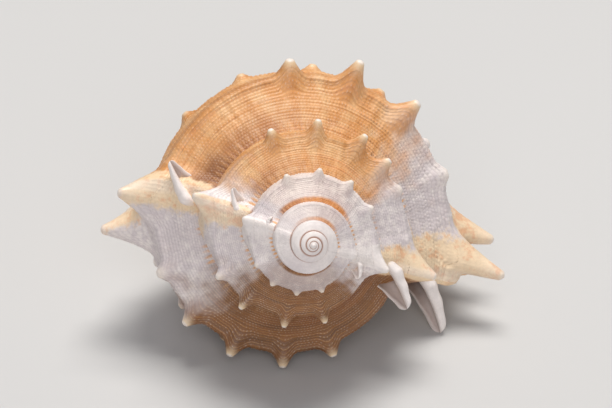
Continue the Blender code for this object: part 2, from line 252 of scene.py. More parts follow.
def curve_weights(places):
    """Catmull-Rom weights of the outline's corners at places along it, and their slopes."""
    weights = np.zeros((len(places), CORNERS))
    slopes = np.zeros((len(places), CORNERS))
    for row, along in enumerate(places):
        i = min(int(along), CORNERS - 2)
        u = along - i
        curve = (
            (-u + 2 * u**2 - u**3) / 2,
            (2 - 5 * u**2 + 3 * u**3) / 2,
            (u + 4 * u**2 - 3 * u**3) / 2,
            (-(u**2) + u**3) / 2,
        )
        slope = (
            (-1 + 4 * u - 3 * u**2) / 2,
            (-10 * u + 9 * u**2) / 2,
            (1 + 8 * u - 9 * u**2) / 2,
            (-2 * u + 3 * u**2) / 2,
        )
        for k in range(4):
            corner = min(max(i - 1 + k, 0), CORNERS - 1)
            weights[row, corner] += curve[k]
            slopes[row, corner] += slope[k]
    return weights, slopes


# A place on the outline is told by how far it is from the suture along the lip's own outline
fine_places = np.linspace(0, CORNERS - 1, 1701)
fine_curve = curve_weights(fine_places)[0] @ outline_corners(np.array([0.0]))[0]
fine_steps = np.linalg.norm(np.diff(fine_curve, axis=0), axis=1)
fine_lengths = np.concatenate([[0.0], np.cumsum(fine_steps)])
fine_lengths -= np.interp(1.0, fine_places, fine_lengths)
SHOULDER_AT = float(np.interp(len(RAMP_SHARES), fine_places, fine_lengths))
CANAL_END_AT = float(fine_lengths[-1])


def at_under(under):
    """The place on the outline that is this many mm under the shoulder, at the lip."""
    corner = np.interp(under, [down for _, down in BELOW_SHOULDER], np.arange(len(BELOW_SHOULDER)))
    return float(np.interp(corner + len(RAMP_SHARES), fine_places, fine_lengths))


def cord_rows(bands):
    """Places and cord numbers for rows over bands of (first place, last place, width of a cord)."""
    at = []
    cord = []
    number = 0
    for first, last, width in bands:
        cords = int(round((last - first) / width))
        steps = cords * ROWS_PER_CORD
        at.extend(first + (last - first) * k / steps for k in range(steps))
        cord.extend(number + k / ROWS_PER_CORD for k in range(steps))
        number += cords
    return np.array(at + [bands[-1][1]]), np.array(cord + [number])


# Beads are counted along the growth, so that both halves of the body whorl carry on the same
bead_growth = np.linspace(-8.2, 0.2, 8401)
bead_rate = BEADS_PER_WHORL * scale(bead_growth) ** BEAD_POWER
bead_count = np.concatenate([[0.0], np.cumsum((bead_rate[1:] + bead_rate[:-1]) / 2 * 0.001)])


def bead_columns(first, last):
    """Growth positions from first to last at whole steps of the beads, with the bead of each."""
    start, end = np.interp([first, last], bead_growth, bead_count) * COLUMNS_PER_BEAD
    beads = np.arange(round(start), round(end) + 1) / COLUMNS_PER_BEAD
    return np.interp(beads, bead_count, bead_growth), beads


def noise_field(seed, x, y):
    """Smooth noise from -1 to 1 over the plane of x and y, the same at each run."""
    lattice = np.random.default_rng(seed).uniform(-1, 1, (64, 64))
    i = np.floor(x).astype(int)
    j = np.floor(y).astype(int)
    across = x - i
    along = y - j
    across = across * across * (3 - 2 * across)
    along = along * along * (3 - 2 * along)
    near = lattice[i % 64, j % 64] * (1 - across) + lattice[(i + 1) % 64, j % 64] * across
    j = j + 1
    far = lattice[i % 64, j % 64] * (1 - across) + lattice[(i + 1) % 64, j % 64] * across
    return near * (1 - along) + far * along


def varix_ridge(t):
    """Share of the varix's full height at t: steep in front of its crest, long behind it."""
    nearest = np.round(t / VARIX_STEP) * VARIX_STEP
    off = t - nearest
    width = np.where(off > 0, VARIX_FRONT, VARIX_BACK)
    fade = np.clip((nearest - VARIX_FIRST) / VARIX_FADE, 0.0, 1.0)
    return fade * np.exp(-((off / width) ** 2))


def thorn_side(length, width, tip):
    """Up a thorn's side: distance from its axis, height, and 1 at its foot to 0 at its tip."""
    u = np.linspace(0, 1, 60)
    corners = (
        (width, 0.0),
        (0.60 * width, 0.0),
        ((tip + 0.20) * width, 0.45 * length),
        (tip * width, 0.90 * length),
    )
    weights = ((1 - u) ** 3, 3 * u * (1 - u) ** 2, 3 * u * u * (1 - u), u**3)
    across = sum(w * c[0] for w, c in zip(weights, corners))
    height = sum(w * c[1] for w, c in zip(weights, corners))
    turn = np.linspace(0, np.pi / 2, 16)[1:]
    across = np.concatenate([across, tip * width * np.cos(turn)])
    height = np.concatenate([height, length * (0.90 + 0.10 * np.sin(turn))])
    lengths = np.concatenate([[0.0], np.cumsum(np.hypot(np.diff(across), np.diff(height)))])
    return across, height, 1 - lengths / lengths[-1]


def raise_thorn(points, marks, t, at, thorn_t, row, length, width, lift, curl, spread, tip):
    """Pulls the skin out into a thorn on a spiral row: a flared foot drawn out to a blunt tip.

    spread is how long its foot is along the row over how wide it is across it. At the lip, the
    foot's front is cut short by the edge, and the thorn leans over it.
    """
    size = scale(thorn_t)
    rows = [under for _, under in BELOW_SHOULDER]
    shares = [share for share, _ in BELOW_SHOULDER]
    rho = np.interp(row, rows, shares) * radius(thorn_t)
    foot = place(np.array(thorn_t), np.array(rho), np.array(depth(thorn_t) + row * size))
    out, forward = level_ways(math.atan2(foot[1], foot[0]))
    behind = width * spread
    ahead = min(behind, -2 * math.pi * rho * thorn_t)
    lean = LIP_LEAN * (1 - ahead / behind)
    droop = max(0.0, row - DROOP_FROM) / DROOP_OVER
    aim = out + (lift - droop) * TO_APEX + lean * forward
    aim /= np.linalg.norm(aim)
    sideways = forward - aim * (forward @ aim)
    sideways /= np.linalg.norm(sideways)
    crosswise = np.cross(aim, sideways)
    reach = behind / (2 * np.pi * radius(thorn_t)) + THORN_MARGIN
    i = slice(*np.searchsorted(t, [thorn_t - reach, thorn_t + reach]))
    middle = at_under(row)
    half = THORN_ROWS * width / size
    j = slice(*np.searchsorted(at, [middle - half, middle + half]))
    patch = points[i, j]
    if patch.size == 0:
        return
    offset = patch - foot
    a = offset @ sideways
    b = offset @ crosswise
    raised = offset @ aim
    long_side = np.where(a > 0, ahead, behind)
    near = np.sqrt((a / long_side) ** 2 + (b / width) ** 2)
    on_foot = (near < 1) & (raised > -1.5 * width)
    side_across, side_height, side_near = thorn_side(length, width, tip)
    across = np.interp(near, side_near[::-1], side_across[::-1])
    height = np.interp(near, side_near[::-1], side_height[::-1])
    rise = height / length
    share = across / (width * np.maximum(near, 1e-6))
    rounder = share * (1 + (width / long_side - 1) * rise)
    change = (a * (rounder - 1))[..., None] * sideways
    change += (b * (share - 1))[..., None] * crosswise
    change += (height - raised * rise)[..., None] * aim
    change += (curl * length * rise**2)[..., None] * TO_APEX
    patch += np.where(on_foot[..., None], change, 0.0)
    marked = np.where(on_foot, rise, 0.0) * min(1.0, length / (TALL_THORN * size))
    marks["point"][i, j] = np.maximum(marks["point"][i, j], marked)


# Every nodule, as (t, mm under the shoulder, height, foot radius, lift)
NODULES = [(t, 0.6, height, 4.0 * scale(t) ** 0.9, 0.35) for t, height in SHOULDER_NODULES]
NODULES += [(t, 6.8, 1.4 * scale(t), 3.2 * scale(t), 0.10) for t in SECOND_NODULES]
NODULES += [(t, 13.2, 1.4 * scale(t), 2.8 * scale(t), 0.25) for t in THIRD_NODULES]


def whorl_skin(t, bead, at, cord, tucks=(False, False)):
    """The outside of the whorls over growth positions t and places at, with its marks."""
    weights, slopes = curve_weights(np.interp(at, fine_lengths, fine_places))
    corners = outline_corners(t)
    outline = np.einsum("rc,tcx->trx", weights, corners)
    along = np.einsum("rc,tcx->trx", slopes, corners)
    normal = np.stack([along[..., 1], -along[..., 0]], axis=-1)
    normal /= np.linalg.norm(normal, axis=-1)[..., None]
    grow = np.broadcast_to(t[:, None], (len(t), len(at)))
    across = np.broadcast_to(at[None, :], (len(t), len(at)))
    size = scale(grow)
    older = ease(grow, SCULPTURE_FROM, SCULPTURE_FULL)

    # The varices die away towards the suture and the canal's end, and the beads on the canal
    at_suture = np.clip((at + 1.2) / 3.0, 0, 1)
    at_canal = np.clip((CANAL_END_AT + 1.0 - at) / 9.0, 0, 1)
    ends = at_suture * at_canal
    ridge = varix_ridge(grow) * np.sin(ends * np.pi / 2)[None, :] ** 0.8
    base = 1 - 0.6 * ease(across, CANAL_END_AT - 20.0, CANAL_END_AT - 9.0)
    odd_row = np.floor(cord + 0.5)[None, :] * 1.37 + 0.0 * grow
    odd = noise_field(3, bead[:, None] + 0.0 * across, odd_row)
    cord_crest = (0.5 + 0.5 * np.cos(2 * np.pi * cord))[None, :]
    cord_number = np.round(cord)[None, :]
    strayed = noise_field(4, bead[:, None] / 6, 1.7 * cord_number + 0.0 * grow)
    stagger = 0.5 * (cord_number % 2) + 0.3 * strayed
    bead_crest = 0.5 + 0.5 * np.cos(2 * np.pi * (bead[:, None] + stagger))
    main_cord = np.where(cord_number % 3 == 0, 1.2, 0.85)
    crest = cord_crest**0.65 * (0.10 + 0.90 * bead_crest)
    beads = BEAD_HEIGHT * crest * main_cord * (1 + 0.35 * odd) * older * base * size**0.5
    fold_crest = (0.5 + 0.5 * np.cos(2 * np.pi * bead / BEADS_PER_FOLD))[:, None]
    fold_band = np.exp(-((across / FOLD_WIDTH - 0.55) ** 2))
    uneven = 0.75 + 0.25 * noise_field(5, grow * 40, across)
    folds = FOLD_HEIGHT * fold_crest * fold_band * uneven * size * older
    lines = noise_field(7, grow * 170, across / 9) + 0.6 * noise_field(8, grow * 60, across / 12)
    lines = GROWTH_LINE * lines * size**0.7 * older
    swell = SWELL * noise_field(9, grow * 22, across / 5) * size * older
    tucked = np.zeros(len(t))
    if tucks[0]:
        tucked = TUCK * (1 - ease(t, t[0], t[0] + 2 * TUCK_LENGTH))
    if tucks[1]:
        tucked = np.maximum(tucked, TUCK * ease(t, t[-1] - 2 * TUCK_LENGTH, t[-1]))

    raised = VARIX_HEIGHT * size * ridge + beads + folds + lines + swell - tucked[:, None]
    rho = outline[..., 0] + normal[..., 0] * raised
    down = outline[..., 1] + normal[..., 1] * raised
    points = place(grow, rho, down)
    marks = {
        "growth": grow,
        "across": across,
        "point": np.zeros(grow.shape),
        "ridge": ridge,
        "bead": crest * older,
        "cord": cord_crest * older,
        "fold": fold_crest * fold_band * older,
        "inside": np.zeros(grow.shape),
    }
    for spine in VARIX_SPINES:
        raise_thorn(points, marks, t, at, *spine, SPINE_CURL, SPINE_SPREAD, SPINE_TIP)
    for nodule in NODULES:
        raise_thorn(points, marks, t, at, *nodule, 0.0, NODULE_SPREAD, NODULE_TIP)
    return points, marks


lay = Matrix(((1, 0, 0, 0), (0, 0, -1, 0), (0, 1, 0, 0), (0, 0, 0, 1)))
roll = Matrix.Rotation(math.radians(ROLL), 4, "Z")
pitch = Matrix.Rotation(math.radians(PITCH), 4, "X")
REST_TURN = np.array((pitch @ lay @ roll).to_3x3())
MARKS = ("growth", "across", "point", "ridge", "bead", "cord", "fold", "inside")


def set_down(points):
    """From the shell's own frame, in mm, to metres where it lies; what would sink is worn flat."""
    placed = (points @ REST_TURN.T + np.array(APEX_AT)) * MM
    placed[..., 2] = np.maximum(placed[..., 2], 0.0)
    return placed


def dress(piece, points, marks):
    """Moves the piece's corners to the points and gives them its marks, smooth shaded."""
    mesh = piece.data
    mesh.vertices.foreach_set("co", points.astype(np.float32).ravel())
    for mark in MARKS:
        values = np.broadcast_to(marks.get(mark, 0.0), points.shape[:-1])
        layer = mesh.attributes.new(mark, "FLOAT", "POINT")
        layer.data.foreach_set("value", values.astype(np.float32).ravel())
    mesh.polygons.foreach_set("use_smooth", np.ones(len(mesh.polygons), dtype=bool))
    mesh.update()


def add_sheet(name, points, marks):
    """A grid primitive moved to the points, over growth positions and places, with its marks."""
    columns, rows = points.shape[:2]
    bpy.ops.mesh.primitive_grid_add(x_subdivisions=columns - 1, y_subdivisions=rows - 1, size=MM)
    sheet = bpy.context.active_object
    sheet.name = name
    by_row = {mark: np.broadcast_to(value, (columns, rows)).T for mark, value in marks.items()}
    dress(sheet, np.swapaxes(set_down(points), 0, 1), by_row)
    return sheet


def join_sheets(name, sheets, weld=0.004):
    """One piece from its sheets, with the points that they share welded."""
    bpy.ops.object.select_all(action="DESELECT")
    for sheet in sheets:
        sheet.select_set(True)
    bpy.context.view_layer.objects.active = sheets[0]
    if len(sheets) > 1:
        bpy.ops.object.join()
    piece = bpy.context.view_layer.objects.active
    piece.name = name
    bpy.ops.object.mode_set(mode="EDIT")
    bpy.ops.mesh.select_all(action="SELECT")
    bpy.ops.mesh.remove_doubles(threshold=weld * MM)
    bpy.ops.object.mode_set(mode="OBJECT")
    bpy.ops.object.select_all(action="DESELECT")
    return piece


def linear(red, green, blue):
    """A colour as it looks, from 0 to 255, as the shader's linear red, green, blue and alpha."""
    values = [value / 255 for value in (red, green, blue)]
    return (*[v / 12.92 if v <= 0.04045 else ((v + 0.055) / 1.055) ** 2.4 for v in values], 1.0)


WHITE_WALL = linear(244, 234, 229)
LILAC_WALL = linear(221, 209, 209)
# Grey for painted shade in the valleys between the beads
SHADED_VALLEY_GREY = linear(158, 142, 140)
TAN_WALL = linear(219, 153, 88)
PALE_TAN = linear(240, 192, 138)
ORANGE = linear(222, 136, 62)
DOT_ORANGE = linear(234, 168, 98)
BROWN = linear(150, 88, 44)
DARK_BROWN = linear(112, 66, 36)
# Tan and brown darkened with painted shade, for the ground-side halves of the whorls
SHADED_TAN = linear(136, 84, 36)
SHADED_BROWN = linear(86, 48, 16)
PALE_CORD = linear(206, 158, 106)
CREAM = linear(243, 215, 177)
WORN_TIP = linear(242, 230, 220)


GRAIN_BUMP = 0.00006


class Nodes:
    """Adds shader nodes to a tree and wires them, so that a pattern reads as one sum."""

    def __init__(self, tree):
        self.tree = tree

    def add(self, kind, **settings):
        node = self.tree.nodes.new(kind)
        for name, value in settings.items():
            setattr(node, name, value)
        return node

    def wire(self, socket, value):
        if isinstance(value, bpy.types.NodeSocket):
            self.tree.links.new(value, socket)
        else:
            socket.default_value = value

    def mark(self, name):
        return self.add("ShaderNodeAttribute", attribute_name=name).outputs["Fac"]

    def sum(self, operation, first, second=0.0, third=0.0):
        node = self.add("ShaderNodeMath", operation=operation)
        for socket, value in zip(node.inputs, (first, second, third)):
            self.wire(socket, value)
        return node.outputs[0]

    def plus(self, first, second):
        return self.sum("ADD", first, second)

    def times(self, first, second):
        return self.sum("MULTIPLY", first, second)

    def scaled(self, value, by, start):
        """The value times by, plus start."""
        return self.sum("MULTIPLY_ADD", value, by, start)

    def step(self, value, low, high):
        """0 below low and 1 above high, smooth between; the other way round if low is over high."""
        node = self.add("ShaderNodeMapRange", interpolation_type="SMOOTHSTEP")
        for name, given in (("Value", value), ("From Min", low), ("From Max", high)):
            self.wire(node.inputs[name], given)
        return node.outputs["Result"]

    def blend(self, share, first, second):
        node = self.add("ShaderNodeMix", data_type="RGBA", clamp_factor=True)
        self.wire(node.inputs[0], share)
        self.wire(node.inputs[6], first)
        self.wire(node.inputs[7], second)
        return node.outputs[2]

    def vector(self, x, y, z=0.0):
        node = self.add("ShaderNodeCombineXYZ")
        for socket, value in zip(node.inputs, (x, y, z)):
            self.wire(socket, value)
        return node.outputs[0]

    def noise(self, vector, scale, detail=2.0, roughness=0.5):
        node = self.add("ShaderNodeTexNoise")
        self.wire(node.inputs["Vector"], vector)
        self.wire(node.inputs["Scale"], scale)
        self.wire(node.inputs["Detail"], detail)
        self.wire(node.inputs["Roughness"], roughness)
        return node.outputs[0]

    def uneven(self, vector, scale, detail=2.0, roughness=0.5):
        """Noise about zero, from -0.5 to 0.5."""
        return self.sum("SUBTRACT", self.noise(vector, scale, detail, roughness), 0.5)

    def place(self):
        return self.add("ShaderNodeTexCoord").outputs["Object"]


def grain_group():
    """Fine grain of a worn limy surface: unevenness of colour and gloss, and a height for bump."""
    group = bpy.data.node_groups.new("limy_grain", "ShaderNodeTree")
    group.interface.new_socket("Colour", in_out="INPUT", socket_type="NodeSocketColor")
    group.interface.new_socket("Mottle", in_out="INPUT", socket_type="NodeSocketFloat")
    group.interface.new_socket("Gloss", in_out="INPUT", socket_type="NodeSocketFloat")
    group.interface.new_socket("Colour", in_out="OUTPUT", socket_type="NodeSocketColor")
    group.interface.new_socket("Roughness", in_out="OUTPUT", socket_type="NodeSocketFloat")
    group.interface.new_socket("Height", in_out="OUTPUT", socket_type="NodeSocketFloat")
    n = Nodes(group)
    given = n.add("NodeGroupInput").outputs
    made = n.add("NodeGroupOutput").inputs
    place_on = n.place()
    coarse = n.noise(place_on, 420.0, 3.0, 0.6)
    fine = n.noise(place_on, 2600.0, 3.0, 0.6)
    darker = n.sum("SUBTRACT", n.plus(coarse, fine), 1.0)
    shade = n.plus(1.0, n.times(darker, given["Mottle"]))
    tinted = n.add("ShaderNodeVectorMath", operation="SCALE")
    n.wire(tinted.inputs[0], given["Colour"])
    n.wire(tinted.inputs["Scale"], shade)
    n.wire(made["Colour"], tinted.outputs[0])
    rougher = n.sum("SUBTRACT", fine, 0.5)
    n.wire(made["Roughness"], n.scaled(rougher, 0.30, given["Gloss"]))
    n.wire(made["Height"], n.scaled(coarse, 0.6, fine))
    return group


limy_grain = grain_group()


def finish_paint(n, colour, mottle, gloss, bump):
    """The Principled shader of a shell surface, with the grain over its colour."""
    paint = n.tree.nodes["Principled BSDF"]
    grain = n.add("ShaderNodeGroup", node_tree=limy_grain)
    n.wire(grain.inputs["Colour"], colour)
    n.wire(grain.inputs["Mottle"], mottle)
    n.wire(grain.inputs["Gloss"], gloss)
    n.wire(paint.inputs["Base Color"], grain.outputs["Colour"])
    n.wire(paint.inputs["Roughness"], grain.outputs["Roughness"])
    bumps = n.add("ShaderNodeBump")
    bumps.inputs["Strength"].default_value = bump
    bumps.inputs["Distance"].default_value = GRAIN_BUMP
    n.wire(bumps.inputs["Height"], grain.outputs["Height"])
    n.wire(paint.inputs["Normal"], bumps.outputs["Normal"])
    paint.inputs["IOR"].default_value = 1.5
    return paint


def wall_material():
    """The outside: tan and brown after each varix, turning granular white before the next."""
    material = bpy.data.materials.new("shell_wall")
    material.use_nodes = True
    n = Nodes(material.node_tree)
    growth = n.mark("growth")
    across = n.mark("across")
    ridge = n.mark("ridge")
    point = n.mark("point")
    place_on = n.place()
    patches = n.uneven(place_on, 130.0, 3.0, 0.55)
    specks = n.uneven(place_on, 900.0, 3.0, 0.6)
    streak_place = n.vector(n.times(growth, 55.0), n.times(across, 0.16))
    streaks = n.uneven(streak_place, 1.0)
    band_place = n.vector(n.times(growth, 7.0), n.times(across, 1.1))
    bands = n.uneven(band_place, 1.0, 2.0, 0.55)
    thread_place = n.vector(n.times(growth, 22.0), n.times(across, 3.4))
    threads = n.uneven(thread_place, 1.0)

    # Phase runs from 0 at a varix to 1 at the next; the ground-side halves are darker, partly their
    # own brown and partly painted shade from the light above
    phase = n.sum("FRACT", n.scaled(growth, 2.0, -0.006))
    lower_side = n.sum("FRACT", growth)
    lower_side = n.times(n.step(lower_side, 0.51, 0.47), n.step(lower_side, 0.0, 0.03))
    wander = n.plus(n.times(patches, 0.30), n.times(streaks, 0.14))
    wandered = n.plus(phase, wander)
    coloured = n.step(wandered, 0.80, 0.60)
    on_last = n.step(growth, -1.02, -0.98)
    coloured = n.times(coloured, n.sum("MAXIMUM", on_last, n.step(wandered, 0.06, 0.20)))
    younger = n.step(growth, -2.12, -1.9)
    near_ramp = n.step(n.plus(across, n.times(patches, 3.0)), 4.6, 2.4)
    faint = n.sum("MAXIMUM", near_ramp, younger)
    faint = n.sum("MAXIMUM", faint, n.scaled(lower_side, 0.22, 0.18))
    coloured = n.times(coloured, faint)

    whiter = n.step(n.plus(specks, n.times(patches, 0.8)), -0.15, 0.25)
    pale = n.blend(whiter, LILAC_WALL, WHITE_WALL)
    tan = n.blend(n.step(n.plus(bands, streaks), -0.2, 0.3), TAN_WALL, PALE_TAN)
    tan = n.blend(n.times(n.step(bands, 0.0, 0.25), 0.6), tan, ORANGE)
    on_ramp = n.times(near_ramp, n.sum("SUBTRACT", 1.0, younger))
    tan = n.blend(n.times(on_ramp, 0.7), tan, ORANGE)
    # Painted shade over the ground side's own brown: there the tan gives way to the darker shaded
    # tan and brown
    shaded = n.blend(n.step(bands, -0.2, 0.3), SHADED_TAN, SHADED_BROWN)
    tan = n.blend(n.times(lower_side, 0.92), tan, shaded)
    ragged = n.plus(across, n.times(patches, 7.0))
    near_suture = n.step(ragged, 8.5, 2.0)
    fresh = n.step(n.plus(phase, n.times(streaks, 0.2)), 0.62, 0.10)
    mottled = n.step(n.plus(specks, n.times(fresh, 0.40)), -0.10, 0.20)
    brown_share = n.times(n.times(near_suture, fresh), mottled)
    tan = n.blend(n.times(brown_share, 0.7), tan, BROWN)
    darkest = n.times(n.step(ragged, 6.5, 2.0), n.step(phase, 0.24, 0.07))
    tan = n.blend(n.times(n.times(darkest, mottled), 0.65), tan, DARK_BROWN)
    edge = n.step(n.sum("ABSOLUTE", n.sum("SUBTRACT", across, SHOULDER_AT + 0.8)), 1.5, 0.2)
    edge = n.times(edge, n.step(phase, 0.6, 0.3))
    tan = n.blend(n.times(edge, 0.35), tan, BROWN)
    tan = n.blend(n.times(n.step(threads, 0.0, 0.22), 0.38), tan, BROWN)
    bead = n.mark("bead")
    cord_share = n.times(n.step(n.mark("cord"), 0.45, 0.95), lower_side)
    cord_share = n.times(cord_share, n.step(threads, -0.25, 0.15))
    stronger = n.scaled(n.step(growth, -1.2, -1.5), 0.22, 0.44)
    cord_share = n.times(cord_share, stronger)
    tan = n.blend(cord_share, tan, PALE_CORD)
    colour = n.blend(coloured, pale, tan)

    dotted = n.step(n.plus(patches, streaks), -0.16, 0.08)
    dots = n.times(n.step(n.mark("fold"), 0.12, 0.55), dotted)
    dot_colour = n.blend(n.times(lower_side, coloured), DOT_ORANGE, PALE_CORD)
    dots = n.times(dots, n.scaled(coloured, -0.62, 0.85))
    colour = n.blend(dots, colour, dot_colour)
    # Painted shade: on the later whorls the valleys between the beads are darkened towards grey
    valley_shade = n.times(n.step(bead, 0.35, 0.0), n.step(growth, -4.4, -3.4))
    valley_shade = n.times(valley_shade, n.scaled(coloured, -0.06, 0.20))
    colour = n.blend(valley_shade, colour, SHADED_VALLEY_GREY)
    granules = n.times(n.step(bead, 0.35, 0.9), n.step(specks, -0.15, 0.15))
    colour = n.blend(n.times(granules, 0.30), colour, WORN_TIP)
    tinged = n.step(n.plus(patches, specks), -0.05, 0.22)
    ridge_colour = n.blend(tinged, CREAM, n.blend(0.5, CREAM, ORANGE))
    ridge_colour = n.blend(n.step(growth, -1.4, -1.9), ridge_colour, WHITE_WALL)
    crest = n.plus(ridge, n.times(n.plus(patches, specks), 0.45))
    crest = n.plus(crest, n.times(n.step(growth, -0.25, -0.12), 0.22))
    colour = n.blend(n.times(n.step(crest, 0.44, 0.66), 0.9), colour, ridge_colour)
    colour = n.blend(n.times(n.step(ridge, 0.90, 0.99), 0.3), colour, WORN_TIP)
    early = n.step(growth, -3.1, -3.6)
    smooth_white = n.blend(n.step(patches, -0.2, 0.2), LILAC_WALL, WHITE_WALL)
    colour = n.blend(early, colour, smooth_white)
    # The seam along the suture is painted brown: partly the shell's own brown suture line, partly
    # painted shade in the crease where one whorl overlaps the next
    earliest = n.step(growth, -3.8, -5.2)
    reach = n.scaled(earliest, 3.4, n.scaled(early, 1.3, 0.9))
    seam = n.step(across, reach, n.times(reach, 0.35))
    colour = n.blend(n.times(seam, n.scaled(early, 0.3, 0.55)), colour, BROWN)
    on_ridge = n.step(ridge, 0.15, 0.5)
    low = n.scaled(coloured, 0.15, 0.28)
    worn = n.times(n.step(point, low, 1.0), n.scaled(on_ridge, -0.75, 1.0))
    worn = n.sum("MAXIMUM", worn, n.times(n.step(point, 0.80, 1.0), 0.8))
    creamy = n.times(coloured, n.step(point, 1.0, 0.85))
    colour = n.blend(worn, colour, n.blend(creamy, WORN_TIP, CREAM))
    gloss = n.scaled(n.sum("MAXIMUM", early, point), -0.14, 0.50)
    finish_paint(n, colour, 0.26, gloss, 0.6)
    return material


shell_wall = wall_material()

# Stretches of the spire, as (first t, last t, bands of rows as for cord_rows)
SPIRE_STRETCHES = (
    (FIRST_WHORL, -4.0, ((-SUNK_UNDER, SHOULDER_AT, 0.95), (SHOULDER_AT, 22.0, 1.15))),
    (-4.0, -3.0, ((-SUNK_UNDER, SHOULDER_AT, 0.85), (SHOULDER_AT, 22.0, 1.0))),
    (-3.0, -2.0, ((-SUNK_UNDER, SHOULDER_AT, 0.72), (SHOULDER_AT, 22.0, 0.8))),
    (-2.0, LAST_WHORL, ((-SUNK_UNDER, SHOULDER_AT, 0.62), (SHOULDER_AT, 23.0, 0.7))),
)
spire_sheets = []
for first, last, bands in SPIRE_STRETCHES:
    start = first - TUCK_LENGTH if first > FIRST_WHORL else first
    t, bead = bead_columns(start, last + TUCK_LENGTH)
    at, cord = cord_rows(bands)
    points, marks = whorl_skin(t, bead, at, cord, (first > FIRST_WHORL, True))
    spire_sheets.append(add_sheet("spire", points, marks))
# The first tiny whorl that the snail hatched with closes the tip
bpy.ops.mesh.primitive_uv_sphere_add(segments=24, ring_count=12, radius=1.0)
nucleus = bpy.context.active_object
bulb = np.array([corner.co for corner in nucleus.data.vertices]) * NUCLEUS - NUCLEUS_DOWN * TO_APEX
dress(nucleus, set_down(bulb), {"growth": FIRST_WHORL, "across": SHOULDER_AT})
spire = join_sheets("spire", [*spire_sheets, nucleus])
spire.data.materials.append(shell_wall)
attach(spire, "root")
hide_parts("shell")


# Body whorl, back half
# The older half of the last whorl, from behind the canal spine on the right round the underside
# to just past the second varix on the left. It runs from the suture down to the siphonal canal.

MIDDLE_OF_BODY = -0.455
LIP_EDGE = -0.0008
BODY_BANDS = (
    (-SUNK_UNDER, SHOULDER_AT, 0.58),
    (SHOULDER_AT, at_under(9.8), 0.62),
    (at_under(9.8), at_under(24.0), 0.85),
    (at_under(24.0), CANAL_END_AT, 1.3),
)
body_at, body_cord = cord_rows(BODY_BANDS)

t, bead = bead_columns(LAST_WHORL - TUCK_LENGTH, MIDDLE_OF_BODY)
points, marks = whorl_skin(t, bead, body_at, body_cord, (True, False))
body_back = join_sheets("body_whorl_back", [add_sheet("body_whorl_back", points, marks)])
body_back.data.materials.append(shell_wall)
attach(body_back, "root")
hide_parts("shell")


# Body whorl, front half
# The newest half of the last whorl, over the top to the outer lip on the right, where the spines
# are longest.

t, bead = bead_columns(MIDDLE_OF_BODY, LIP_EDGE)
t = np.append(t, 0.0)
bead = np.append(bead, bead[-1] + 0.2)
points, marks = whorl_skin(t, bead, body_at, body_cord)
body_front = join_sheets("body_whorl_front", [add_sheet("body_whorl_front", points, marks)])
body_front.data.materials.append(shell_wall)
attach(body_front, "root")
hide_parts("shell")


# Aperture
# The mouth lies underneath: a thick rounded lip with teeth along its inner side, the smooth
# porcelain lining that runs back out of sight, the callus spread over the whorl before it, and
# the columella, which ends in the open gutter of the siphonal canal.

# The hollow behind the lip, as (radius, depth under the apex) at the lip
HOLLOW_OUTER = (
    (18.6, 28.6),
    (21.4, 30.6),
    (22.9, 34.0),
    (23.0, 38.0),
    (21.6, 42.4),
    (18.4, 46.6),
    (14.6, 49.8),
    (10.6, 52.6),
    (7.2, 55.6),
    (5.0, 59.0),
)
HOLLOW_INNER = (
    (2.6, 58.0),
    (3.4, 54.0),
    (4.6, 49.0),
    (5.4, 44.5),
    (5.8, 40.5),
    (7.2, 36.8),
    (10.2, 33.4),
    (13.2, 30.4),
    (15.8, 28.0),
)
HOLLOW_END = -0.46
CLOSED_SIZE = 0.02
CLOSE_RATE = 2.2 / 0.51
# Rows of the lip across from each corner of the hollow's outer side, in mm under the shoulder
HOLLOW_ROWS = (-9.0, -1.0, 3.2, 7.2, 11.5, 16.0, 19.8, 22.8, 25.6, 29.0)
LIP_FRONT = 1.15
LIP_COLUMNS = 14
LINING_COLUMNS = 46
TOOTH_HEIGHT = 0.75
TOOTH_WIDTH = 2.3
TOOTH_LENGTH = 0.022
CANAL_WALL = 4.2
SOFTEN_ROWS = 10
DEEP_INSIDE = 30.0

# The columella, as (depth under the apex, radius), and the gutter along it
PILLAR = (
    (38.0, 2.6),
    (41.0, 4.0),
    (46.0, 5.4),
    (54.0, 5.8),
    (60.0, 5.2),
    (64.0, 4.4),
    (65.6, 3.6),
    (66.6, 2.8),
)
PILLAR_TOP = PILLAR[0][0]
PILLAR_END = PILLAR[-1][0]
PILLAR_ROUND = 0.6
GUTTER_AT = 62.0
GUTTER_WIDTH = 17.0
GUTTER_DEPTH = 3.3
CALLUS_ROWS = 80
CALLUS_COLUMNS = 22


def hollow_at(t, rho, down):
    """A corner of the hollow at the lip, moved back along the growth to t."""
    return place(t, rho * scale(t), depth(t) + (down - LIP_DEPTH) * scale(t))


def smooth_line(corners, count):
    """A smooth curve through the corners as this many points at even steps."""
    p = np.array([corners[0], *corners, corners[-1]], float)
    found = []
    for i in range(1, len(p) - 2):
        for u in np.arange(0, 1, 0.05):
            a = 2 * p[i]
            b = p[i + 1] - p[i - 1]
            c = 2 * p[i - 1] - 5 * p[i] + 4 * p[i + 1] - p[i + 2]
            d = 3 * p[i] - p[i - 1] - 3 * p[i + 1] + p[i + 2]
            found.append((a + b * u + c * u * u + d * u**3) / 2)
    found = np.array(found + [p[-2]])
    lengths = np.concatenate([[0.0], np.cumsum(np.linalg.norm(np.diff(found, axis=0), axis=1))])
    steps = np.linspace(0, lengths[-1], count)
    return np.stack([np.interp(steps, lengths, found[:, k]) for k in (0, 1)], axis=1)


